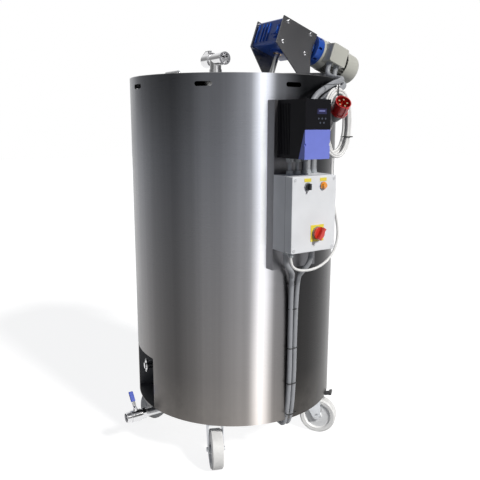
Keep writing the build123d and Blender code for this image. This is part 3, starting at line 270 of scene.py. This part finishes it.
def lay_conduit(name, points, outer):
    """One run of conduit, riding on the kettle and standing for the CAD's tubes."""
    points = np.array(points, float) / 1000
    piece, line = ribbed_tube(name, points, outer)
    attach(piece, "kettle")
    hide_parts("conduits")
    conduits.append(piece)
    print(name, "is", round(run_length(line), 3), "m long")


for number, route in enumerate(duct_lines):
    lay_conduit("shell_conduit_%d" % (number + 1), route, duct_radius)
for number, (reach, route) in enumerate(zip(hose_reaches, hose_lines)):
    ends = [(gear_x + reach * math.cos(lean) + drop * math.sin(lean), box_y,
             gear_z - reach * math.sin(lean) + drop * math.cos(lean))
            for drop in (box_under, first_bend)]
    lay_conduit("motor_conduit_%d" % (number + 1), ends + route, hose_radius)
for number, x in enumerate(stub_xs):
    lay_conduit("drive_stub_%d" % (number + 1), [(x, stub_y, z) for z in stub_zs],
                stub_radius)

# %% [markdown]
# ## Shader arithmetic
#
# A finish is a sum of small patterns, and sums made with the mouse become a tangle of
# nodes. Here a socket is wrapped in a small class, so that plain Python arithmetic adds
# the Math nodes. One method adds any other node: it sets the node's settings first, and
# then links or sets its sockets.

# %% A socket that can be added up


class Wire:
    """A value in a node tree. Arithmetic on it adds Math nodes."""

    def __init__(self, finish, socket):
        self.finish, self.socket = finish, socket

    def math(self, operation, *others):
        sockets = dict(enumerate((self,) + others))
        return self.finish.node("ShaderNodeMath", {"operation": operation}, sockets)

    def __add__(self, other):
        return self.math("ADD", other)

    __radd__ = __add__

    def __sub__(self, other):
        return self.math("SUBTRACT", other)

    def __rsub__(self, other):
        return self.math("MULTIPLY_ADD", -1.0, other)

    def __mul__(self, other):
        return self.math("MULTIPLY", other)

    __rmul__ = __mul__

    def __truediv__(self, other):
        return self.math("DIVIDE", other)

    def __pow__(self, other):
        return self.math("POWER", other)

    def __abs__(self):
        return self.math("ABSOLUTE")

    def below(self, edge, soft=0.0004):
        """One where the value is under the edge, zero above it, with a soft step."""
        return ((edge - self) / soft + 0.5).math("MINIMUM", 1.0).math("MAXIMUM", 0.0)


class Finish:
    """A material under construction."""

    def __init__(self, name, tree=None):
        if tree is None:
            self.material = bpy.data.materials.new(name)
            self.material.use_nodes = True
            tree = self.material.node_tree
            tree.nodes.clear()
        self.tree = tree

    def node(self, kind, settings=None, sockets=None, out=0):
        """Adds one node. Settings come first, because some change which sockets it has.
        A node with no output, such as the material's end, takes out=None."""
        made = self.tree.nodes.new(kind)
        for key, value in (settings or {}).items():
            if key == "stops":
                ramp = made.color_ramp
                for place, shade in value[1:-1]:
                    ramp.elements.new(place)
                for element, (place, shade) in zip(ramp.elements, value):
                    element.position = place
                    element.color = shade if hasattr(shade, "__len__") else (shade,) * 3 + (1,)
            elif key == "interpolation":
                made.color_ramp.interpolation = value
            else:
                setattr(made, key, value)
        for key, value in (sockets or {}).items():
            if isinstance(value, Wire):
                self.tree.links.new(value.socket, made.inputs[key])
            else:
                made.inputs[key].default_value = value
        return None if out is None else Wire(self, made.outputs[out])

    def place(self):
        """Where on the object, in metres."""
        return self.node("ShaderNodeTexCoord", out="Object")

    def parts(self, vector):
        """The three numbers of a vector."""
        first = self.node("ShaderNodeSeparateXYZ", {}, {0: vector})
        return [Wire(self, s) for s in first.socket.node.outputs]

    def stretch(self, vector, scale):
        return self.node("ShaderNodeMapping", {"vector_type": "POINT"},
                         {"Vector": vector, "Scale": scale})

    def noise(self, vector, scale, detail=2.0, rough=0.5):
        return self.node("ShaderNodeTexNoise", {},
                         {"Vector": vector, "Scale": scale, "Detail": detail,
                          "Roughness": rough})

    def blend(self, part, one, two, mode="MIX"):
        """Colour one where part is zero, two where it is one."""
        def colour(shade):
            return shade if isinstance(shade, Wire) else tuple(shade)[:3] + (1.0,)
        return self.node("ShaderNodeMix", {"data_type": "RGBA", "blend_type": mode},
                         {0: part, 6: colour(one), 7: colour(two)}, out=2)

    def bump(self, height, strength, distance):
        return self.node("ShaderNodeBump", {}, {"Height": height, "Strength": strength,
                                                "Distance": distance})

    def finish(self, **sockets):
        named = {key.replace("_", " "): value for key, value in sockets.items()}
        shader = self.node("ShaderNodeBsdfPrincipled", {}, named)
        self.node("ShaderNodeOutputMaterial", {}, {"Surface": shader}, out=None)
        return self.material


# %% Put a finish on a piece


def wear(material, *names):
    """Gives the material to CAD nodes or to pieces, by name."""
    for name in names:
        piece = cad.get(name) or bpy.data.objects[name]
        if not piece.material_slots:
            piece.data.materials.append(material)
        for held in piece.material_slots:
            held.material = material
    print(material.name, "is on", ", ".join(names))


# %% [markdown]
# ## Brushed stainless steel
#
# The sheets of the kettle are ground with a belt, which leaves fine lines along the
# sheet, and a faint cloudiness where the belt pressed harder. A picture of a sheet could
# be wrapped round it, but noise stretched far longer than high gives the same lines at
# any distance. The lines shift the colour and the roughness a little, and a very shallow
# bump breaks the highlights. The mixer's side plates show hardly any of them.

# %% Brushed sheet, ground along x, y or z


def brushed(name, tone, along=(4, 4, 900), rough=0.3, grain=0.10, cloud=0.08, extra=None,
            marks=1.0):
    f = Finish(name)
    here = f.place()
    line = f.noise(f.stretch(here, along), 1.0, 3.0, 0.6)
    long_line = f.noise(f.stretch(here, tuple(v * 0.31 for v in along)), 1.0, 2.0)
    mist = f.noise(here, 5.0, 3.0)
    lift = (line - 0.5) * grain + (long_line - 0.5) * grain + (mist - 0.5) * cloud
    shade = f.blend((lift + 0.5).math("MINIMUM", 1.0).math("MAXIMUM", 0.0),
                    [v * 0.55 for v in tone], [min(1, v * 1.45) for v in tone])
    roughness = (line - 0.5) * (0.16 * marks) + (mist - 0.5) * 0.08 + rough
    if extra:
        shade, roughness = extra(f, here, shade, roughness)
    return f.finish(Base_Color=shade, Metallic=1.0, Roughness=roughness,
                    Normal=f.bump(line, 0.05 * marks, 0.0004))


# Bearing in degrees from the control box towards the motor, and how bright the sheet is
# there. They are listed: one bright stripe, and broad grey and dark bands beside it.
# These levels are painted reflection: the bright stripe and the dark bands stand in for what the
# drum mirrors.
PAINTED_REFLECTION_BANDS = [(-180, 0.18), (-100, 0.18), (-65, 0.07), (-40, 0.16), (-25, 0.25),
               (-18, 1.0), (-10, 0.20), (5, 0.03), (40, 0.04), (60, 0.18), (180, 0.18)]
seam_at, slot_top, rim_edge = -2.1, 1.522, 1.549


def shell_marks_and_painted_reflections(f, here, shade, roughness):
    """Painted reflection bands from rim to foot, with fine streaks in them, the weld seam
    above a slot, and splashes near the foot. On a real drum the bands are reflections and
    move with the viewer. Here they are painted into the colour, so they stay where they are
    from every side."""
    x, y, z = f.parts(here)
    bearing = x.math("ARCTAN2", -1.0 * y) * (180 / math.pi)
    wobble = (f.noise(f.stretch(here, (1.5, 1.5, 0.7)), 1.0, 2.0) - 0.5) * 5.0
    part = (bearing + wobble + 180.0) / 360.0
    # Painted reflection: a ramp of brightness round the drum, with fine streaks through it.
    tone = f.node("ShaderNodeValToRGB", {
        "stops": [((angle + 180) / 360, level_of) for angle, level_of in PAINTED_REFLECTION_BANDS],
        "interpolation": "EASE"}, {"Fac": part})
    drawn_out = f.node("ShaderNodeCombineXYZ", {}, {0: bearing / 5.0, 2: z * 0.15})
    streak = f.noise(drawn_out, 1.0, 4.0, 0.6)
    tone = f.blend(streak, f.blend(1.0, tone, (0.8, 0.8, 0.8), "MULTIPLY"),
                   f.blend(1.0, tone, (1.2, 1.2, 1.2), "MULTIPLY"))
    # Painted reflection: a bluish sky reflection on the upper drum and a warmer floor reflection
    # below about 0.7 m.
    warm = z.below(0.7, 1.1)
    painted_reflection_tint = f.blend(warm, (0.94, 0.99, 1.10), (1.05, 1.0, 0.96))
    reflection_banded = f.blend(1.0, f.blend(1.0, tone, painted_reflection_tint, "MULTIPLY"), (1.9, 1.9, 1.9), "MULTIPLY")
    shade = f.blend(1.0, reflection_banded, shade, "MULTIPLY")
    seam = (abs(bearing - seam_at)).below(0.09, 0.06) * (slot_top - z).below(0.0, 0.002)
    weld = f.blend(seam * 0.7, shade, (0.12, 0.11, 0.11))
    foot = z.below(0.30, 0.18) * f.noise(here, 22.0, 4.0, 0.65)
    edge = (rim_edge - z).below(0.0, 0.002)
    dulled = f.blend(foot * 0.22, weld, (0.40, 0.37, 0.34))
    return f.blend(edge * 0.5, dulled, (0.75, 0.75, 0.75)), roughness + foot * 0.12


stainless = brushed("brushed_shell", (0.54, 0.53, 0.525), (9, 9, 1500), 0.3, grain=0.05,
                    cloud=0.06, extra=shell_marks_and_painted_reflections)
wear(stainless, "outer_shell")
wear(brushed("ground_sheet", (0.36, 0.36, 0.37), (9, 9, 1500), 0.3, grain=0.06),
     "rim_ring", "base_frame")
# The console gets a much darker sheet than the rim and base as painted shade: it lies in the
# shadow of the drive and the box.
wear(brushed("console_painted_shade", (0.17, 0.17, 0.18), (9, 9, 1500), 0.4, grain=0.05), "console")
wear(brushed("ground_plate", (0.30, 0.30, 0.315), (900, 900, 8), 0.26, grain=0.015,
             cloud=0.25, marks=0.15), "side_plates", "bridge")
wear(brushed("cover_sheet", (0.42, 0.42, 0.42), (6, 900, 6), 0.3, grain=0.06),
     "fixed_cover", "hinged_lid")
wear(brushed("vat_sheet", (0.60, 0.60, 0.60), (5, 5, 300), 0.22, grain=0.05),
     "vat", "jacket", "agitator")
wear(brushed("turned_steel", (0.46, 0.46, 0.47), (60, 60, 900), 0.3), "worm_shaft",
     "heating_elements")

# %% [markdown]
# ## Bright fittings and zinc
#
# Valves, bolts, the notch cover and the lid's handle are polished: they mirror, with
# small handling marks. The plates and forks of the casters have a coat of zinc, which is
# a little blue, and dull in patches where the bath ran.

# %% Polished steel and zinc plate


def polished(name, tone, rough=0.13):
    f = Finish(name)
    here = f.place()
    marks = f.noise(here, 160.0, 4.0, 0.7)
    haze = f.noise(here, 30.0, 2.0)
    shade = f.blend(marks, [v * 0.82 for v in tone], [min(1, v * 1.1) for v in tone])
    return f.finish(Base_Color=shade, Metallic=1.0, Roughness=(marks - 0.5) * 0.12 + haze * 0.12
                    + (rough - 0.06), Normal=f.bump(marks, 0.06, 0.0003))


def zinc_plate(name):
    f = Finish(name)
    here = f.place()
    cells = f.node("ShaderNodeTexVoronoi", {"feature": "F1"}, {"Vector": here, "Scale": 95.0},
                   out="Distance")
    patch = f.noise(here, 34.0, 4.0, 0.6)
    z = f.parts(here)[2]
    shade = f.blend(patch, (0.50, 0.52, 0.55), (0.80, 0.82, 0.85))
    grime = z.below(0.10, 0.06) * f.noise(here, 60.0, 5.0, 0.7)
    shade = f.blend(grime * 0.5, shade, (0.25, 0.23, 0.21))
    return f.finish(Base_Color=shade, Metallic=0.92,
                    Roughness=patch * 0.26 + cells * 0.1 + grime * 0.2 + 0.18,
                    Normal=f.bump(patch + cells * 0.4, 0.08, 0.0004))


wear(polished("polished_fittings", (0.74, 0.74, 0.75)), "sensor_cover", "drain_pipe",
     "drain_body", "drain_lever", "fill_body", "fill_lever", "lid_handle", "plate_bolts")
wear(zinc_plate("zinc_plate"), "caster_plates", *["caster_fork_%d" % k for k in (1, 2, 3, 4)])

# %% [markdown]
# ## Paint and powder coat
#
# The worm gear is sprayed a strong blue and the motor a warm pale grey, and the control
# box is powder coated nearly white. The motor's finned body is painted a much darker grey,
# as painted shade between the fins. Sprayed paint dries with a skin like orange peel, and
# dust settles on what faces up. Both come from noise: a fine one as bump, a coarse one,
# times how much the face looks up, as dust.

# %% Painted metal


def painted(name, colour, gloss=0.32, peel=260.0, peel_depth=0.10, dust=0.25, extra=None):
    f = Finish(name)
    here = f.place()
    skin = f.noise(here, peel, 2.0)
    drift = f.noise(here, 9.0, 3.0)
    facing = f.parts(f.node("ShaderNodeNewGeometry", out="Normal"))[2]
    settled = facing.math("MAXIMUM", 0.0) ** 3.0 * f.noise(here, 42.0, 4.0, 0.7)
    shade = f.blend(drift, [v * 0.86 for v in colour], [min(1, v * 1.1) for v in colour])
    shade = f.blend(settled * dust, shade, (0.42, 0.39, 0.35))
    rough = (skin - 0.5) * 0.08 + settled * 0.3 + drift * 0.06 + gloss
    if extra:
        shade, rough = extra(f, here, shade, rough)
    return f.finish(Base_Color=shade, Roughness=rough, Normal=f.bump(skin, peel_depth, 0.0006))


def gear_marks(f, here, shade, rough):
    """Chips down to bare iron, in a few small islands."""
    islands = f.noise(here, 75.0, 5.0, 0.75)
    chip = (1.0 - islands).below(0.29, 0.02)
    return f.blend(chip * 0.7, shade, (0.20, 0.19, 0.18)), rough + chip * 0.15


lid_joint = -0.526                       # y of the joint between box and lid
lid_x, lid_z = -0.015, 1.0575            # middle of the lid
screw_x, screw_z = 0.088, 0.1245         # how far from it the screws are
screw_r, screw_core, screw_slot = 0.0045, 0.0038, 0.0006


def lid_marks(f, here, shade, rough):
    """A faint shadow in the joint of the lid and round its four screws."""
    x, y, z = f.parts(here)
    joint = abs(y - lid_joint).below(0.0012, 0.0008)
    ring = f.blend(joint * 0.6, shade, (0.22, 0.23, 0.24))
    across_x = abs(abs(x - lid_x) - screw_x)
    across_z = abs(abs(z - lid_z) - screw_z)
    off = (across_x * across_x + across_z * across_z) ** 0.5
    core = off.below(screw_core, 0.0006)
    slot = off.below(screw_r, 0.0006) * (1.0 - core)
    cut = core * across_x.below(screw_slot, 0.0003)
    return f.blend((slot + cut).math("MINIMUM", 1.0) * 0.75, ring, (0.16, 0.16, 0.17)), rough


wear(painted("gear_blue", (0.012, 0.075, 0.40), 0.3, dust=0.12, extra=gear_marks),
     "gearbox_housing", "gearbox_end_cap")
wear(painted("motor_grey", (0.50, 0.50, 0.45), 0.36, dust=0.3), "motor_endshield",
     "motor_cowl", "terminal_box")
# The finned body gets a much darker grey than the rest of the motor as painted shade between its
# fins.
wear(painted("fins_painted_shade", (0.17, 0.17, 0.155), 0.45, dust=0.3), "motor_body")
wear(painted("box_coat", (0.76, 0.775, 0.80), 0.34, 520.0, 0.16, 0.10, lid_marks),
     "control_box", "control_box_lid")
wear(painted("rotor_iron", (0.14, 0.13, 0.12), 0.5, 180.0), "motor_rotor")
# The pocket's wall is painted nearly black as painted shade inside the notch.
wear(painted("recess_painted_shade", (0.035, 0.037, 0.045), 0.42, 90.0, dust=0.12), "notch_pocket")

# %% [markdown]
# ## Moulded plastics and rubber
#
# Switches, glands, the drive's case, plug and wheels are moulded. A moulded face is never
# quite even: it has a fine spark-eroded grain, and a gloss that comes and goes. Coloured
# areas of one moulding, such as the drive's display, are masks made of the distance from
# their middle.

# %% Moulded plastic


def moulded(name, colour, gloss=0.42, grain=900.0, depth=0.12, drift=0.10, extra=None,
            coat=0.0, shine=0.5):
    f = Finish(name)
    here = f.place()
    spark = f.noise(here, grain, 2.0)
    cloud = f.noise(here, 26.0, 3.0)
    shade = f.blend(cloud, [v * (1 - drift) for v in colour],
                    [min(1, v * (1 + drift)) for v in colour])
    rough = (spark - 0.5) * 0.12 + (cloud - 0.5) * 0.10 + gloss
    if extra:
        shade, rough = extra(f, here, shade, rough)
    return f.finish(Base_Color=shade, Roughness=rough, Coat_Weight=coat,
                    Specular_IOR_Level=shine, Normal=f.bump(spark, depth, 0.0003))


drive_face, window_back = -0.6075, -0.606
window_x, window_z, window_wide, window_tall = -0.028, 1.415, 0.021, 0.009
bar_z = 1.4165
key_spots = [(-0.043, 1.391), (-0.028, 1.391), (-0.013, 1.391), (-0.036, 1.377),
             (-0.020, 1.377)]
key_r = 0.0032
lens_front = -0.5708
tread_r, web_r, bush_r = 0.074, 0.054, 0.0165


def display_and_keys(f, here, shade, rough):
    """A dark blue window with one paler bar, and five keys, on the drive's face."""
    x, y, z = f.parts(here)
    front = y.below(drive_face, 0.0004)
    window = (abs(x - window_x).below(window_wide) * abs(z - window_z).below(window_tall)
              * y.below(window_back, 0.0004))
    glow = f.blend(window, shade, (0.035, 0.035, 0.09))
    line = (abs(z - bar_z).below(0.0022, 0.0006) * abs(x - window_x).below(0.013, 0.002)
            * window)
    lit = f.blend(line * 0.8, glow, (0.22, 0.24, 0.55))
    mask = None
    for kx, kz in key_spots:
        spot = ((x - kx) * (x - kx) + (z - kz) * (z - kz)) ** 0.5
        key = spot.below(key_r)
        mask = key if mask is None else mask + key
    keys = f.blend(mask.math("MINIMUM", 1.0) * front, lit, (0.08, 0.09, 0.12))
    return keys, rough - window * 0.25


def lamp_zones(f, here, shade, rough):
    """Orange lens in front, grey ring behind it."""
    y = f.parts(here)[1]
    lens = y.below(lens_front, 0.0003)
    return f.blend(lens, (0.20, 0.20, 0.21), shade), rough - lens * 0.2


def off_axis(f, here, centre, axis):
    """How far a point is from an axis: the root of its squared distance from the centre
    less the square of the part along the axis."""
    off = f.node("ShaderNodeVectorMath", {"operation": "SUBTRACT"}, {0: here, 1: centre})
    along = f.node("ShaderNodeVectorMath", {"operation": "DOT_PRODUCT"}, {0: off, 1: axis},
                   out="Value")
    size = f.node("ShaderNodeVectorMath", {"operation": "LENGTH"}, {0: off}, out="Value")
    return (size * size - along * along).math("MAXIMUM", 0.0) ** 0.5


def wheel_zones(centre, axis):
    def zones(f, here, shade, rough):
        """Worn tread, a slightly greyer web and a steel-grey bush."""
        away = off_axis(f, here, centre, axis)
        web = away.below(web_r, 0.0008)
        bush = away.below(bush_r, 0.0006)
        scuffs = f.noise(here, 70.0, 5.0, 0.7) * (1.0 - away.below(tread_r, 0.003))
        tone = f.blend(web, shade, (0.80, 0.81, 0.82))
        tone = f.blend(scuffs * 0.3, tone, (0.24, 0.23, 0.21))
        return f.blend(bush, tone, (0.40, 0.41, 0.42)), rough - web * 0.12 + scuffs * 0.1
    return zones


wear(moulded("drive_case", (0.004, 0.004, 0.006), 0.45, depth=0.05, extra=display_and_keys,
             shine=0.12), "inverter_body")
wear(moulded("drive_cover", (0.17, 0.21, 0.66), 0.36), "inverter_cover")
wear(moulded("selector_black", (0.02, 0.02, 0.021), 0.34), "selector_knob", "brake_pedal_2",
     "brake_pedal_4")
wear(moulded("tie_black", (0.018, 0.018, 0.018), 0.45, 400.0), "zip_ties")
wear(moulded("ring_grey", (0.25, 0.26, 0.28), 0.35), "switch_bezels")
wear(moulded("gland_grey", (0.36, 0.38, 0.40), 0.42), "cable_glands")
wear(moulded("plate_yellow", (0.80, 0.66, 0.06), 0.36), "label_plates")
wear(moulded("handle_red", (0.62, 0.035, 0.02), 0.26, coat=0.4), "main_switch")
wear(moulded("lamp_orange", (0.85, 0.30, 0.02), 0.3, coat=0.5, extra=lamp_zones), "signal_lamp")
wear(moulded("sleeve_blue", (0.02, 0.06, 0.42), 0.33, coat=0.2), "drain_sleeve")
wear(moulded("plug_red", (0.52, 0.02, 0.02), 0.28, coat=0.3), "plug_shell")
wear(moulded("plug_grey", (0.20, 0.21, 0.22), 0.4), "plug_grip")
wear(moulded("conduit_grey", (0.30, 0.31, 0.33), 0.4, 500.0), *[p.name for p in conduits])
wear(moulded("cable_white", (0.78, 0.78, 0.77), 0.4, 700.0, drift=0.04), "mains_lead")
wear(moulded("wool", (0.50, 0.44, 0.30), 0.95, 260.0, 0.8, 0.25), "insulation")
for k in (1, 2, 3, 4):
    hub = next(j for j in frame["joints"] if j["name"] == "wheel_%d_roll" % k)
    wear(moulded("wheel_grey_%d" % k, (0.88, 0.88, 0.87), 0.5, 420.0,
                 extra=wheel_zones(tuple(hub["pos_m"]), tuple(hub["axis"]))),
         "caster_wheel_%d" % k)
wear(polished("pin_brass", (0.80, 0.68, 0.42), 0.2), "plug_pins")
wear(polished("wheel_bronze", (0.55, 0.36, 0.16), 0.26), "worm_wheel")

# %% [markdown]
# ## Light and ground
#
# The picture's background is plain white, and its steel mirrors a bright gap between
# darker things. The strongest lamp is a sun with a soft edge, from the front and over the
# photographer's right shoulder. The sky is white for the camera. In mirrors it is white
# behind the kettle, near the ground and in one gap in front, and dark to the left and
# right. Together with the painted reflection bands in the shell's colour this gives the
# long soft bands of a round drum. On dull faces the sky shines weakly, and weakest from
# the left.

# %% Sky
world = bpy.data.worlds.new("sky")
scene.world = world
world.use_nodes = True
world.node_tree.nodes.clear()
sky = Finish("sky", world.node_tree)
toward = sky.node("ShaderNodeTexCoord", out="Generated")
sx, sy, sz = sky.parts(toward)
bearing = sx.math("ARCTAN2", -1.0 * sy) / (2 * math.pi) + 0.5
SKY_BANDS = [(-180, 1.0), (-150, 0.3), (-100, 0.15), (-40, 0.3), (-12, 1.0), (2, 1.0),
             (20, 0.12), (90, 0.1), (130, 1.0), (180, 1.0)]
stops = [((angle + 180) / 360, level_of) for angle, level_of in SKY_BANDS]
mirror = sky.node("ShaderNodeValToRGB", {"stops": stops, "interpolation": "EASE"},
                  {"Fac": bearing})
soft_right, soft_left = (0.17, 0.18, 0.20), (0.03, 0.04, 0.065)
high_up = (0.75 - sz).below(0.0, 0.5)
mirror = sky.blend(high_up * 0.7, mirror, (0.85, 0.88, 0.92))
mirror = sky.blend(sz.below(0.0, 0.06), mirror, (1.0, 1.0, 1.0))
path = sky.node("ShaderNodeLightPath")
rays = {s.name: Wire(sky, s) for s in path.socket.node.outputs}
shown = (rays["Is Camera Ray"] + rays["Is Transmission Ray"]).math("MINIMUM", 1.0)
leftward = (sx + 0.2).below(0.0, 0.8)
soft = sky.blend(leftward, soft_right, soft_left)
colour = sky.blend(rays["Is Glossy Ray"], soft, mirror)
colour = sky.blend(shown, colour, (1.0, 1.0, 1.0))
glow = sky.node("ShaderNodeBackground", {}, {"Color": colour, "Strength": 1.0})
sky.node("ShaderNodeOutputWorld", {}, {"Surface": glow}, out=None)
print("sky with", len(SKY_BANDS), "stops round the horizon")

# %% Sun and a soft fill
sun_data = bpy.data.lights.new("sun", "SUN")
sun_data.energy = 3.2
sun_data.angle = math.radians(9)
sun_data.color = (1.0, 0.985, 0.96)
sun = bpy.data.objects.new("sun", sun_data)
sun_from = Vector((0.16, -0.80, 0.62))
sun.rotation_euler = sun_from.to_track_quat("Z", "Y").to_euler()
scene.collection.objects.link(sun)
fill_data = bpy.data.lights.new("fill", "AREA")
fill_data.energy = 2
fill_data.size = 1.6
fill = bpy.data.objects.new("fill", fill_data)
fill.location = (-2.6, -1.6, 2.4)
fill.rotation_euler = (fill.location - Vector((0, 0, 0.9))).to_track_quat("Z", "Y").to_euler()
scene.collection.objects.link(fill)
print("sun from", [round(v, 2) for v in sun_from], "and a fill from",
      [round(v, 2) for v in fill.location])

# %% Ground
floor_mesh = bpy.data.meshes.new("ground")
reach = 20.0
ground_grey, ground_glow = 0.36, 0.86        # what it scatters, and what it adds unlit
floor_mesh.from_pydata([(-reach, -reach, 0), (reach, -reach, 0), (reach, reach, 0),
                        (-reach, reach, 0)], [], [(0, 1, 2, 3)])
ground = bpy.data.objects.new("ground", floor_mesh)
scene.collection.objects.link(ground)
f = Finish("ground_white")
lit = f.node("ShaderNodeBsdfDiffuse", {}, {"Color": (ground_grey,) * 3 + (1,)})
rays = {s.name: Wire(f, s) for s in f.node("ShaderNodeLightPath").socket.node.outputs}
seen = (rays["Is Camera Ray"] + rays["Is Glossy Ray"] + rays["Is Transmission Ray"])
extra = f.node("ShaderNodeEmission", {}, {"Color": (1, 1, 1, 1), "Strength": seen * ground_glow})
both = f.node("ShaderNodeAddShader", {}, {0: lit, 1: extra})
f.node("ShaderNodeOutputMaterial", {}, {"Surface": both}, out=None)
floor_mesh.materials.append(f.material)
print("ground is", 2 * reach, "m square")

scene.view_settings.view_transform = "Standard"
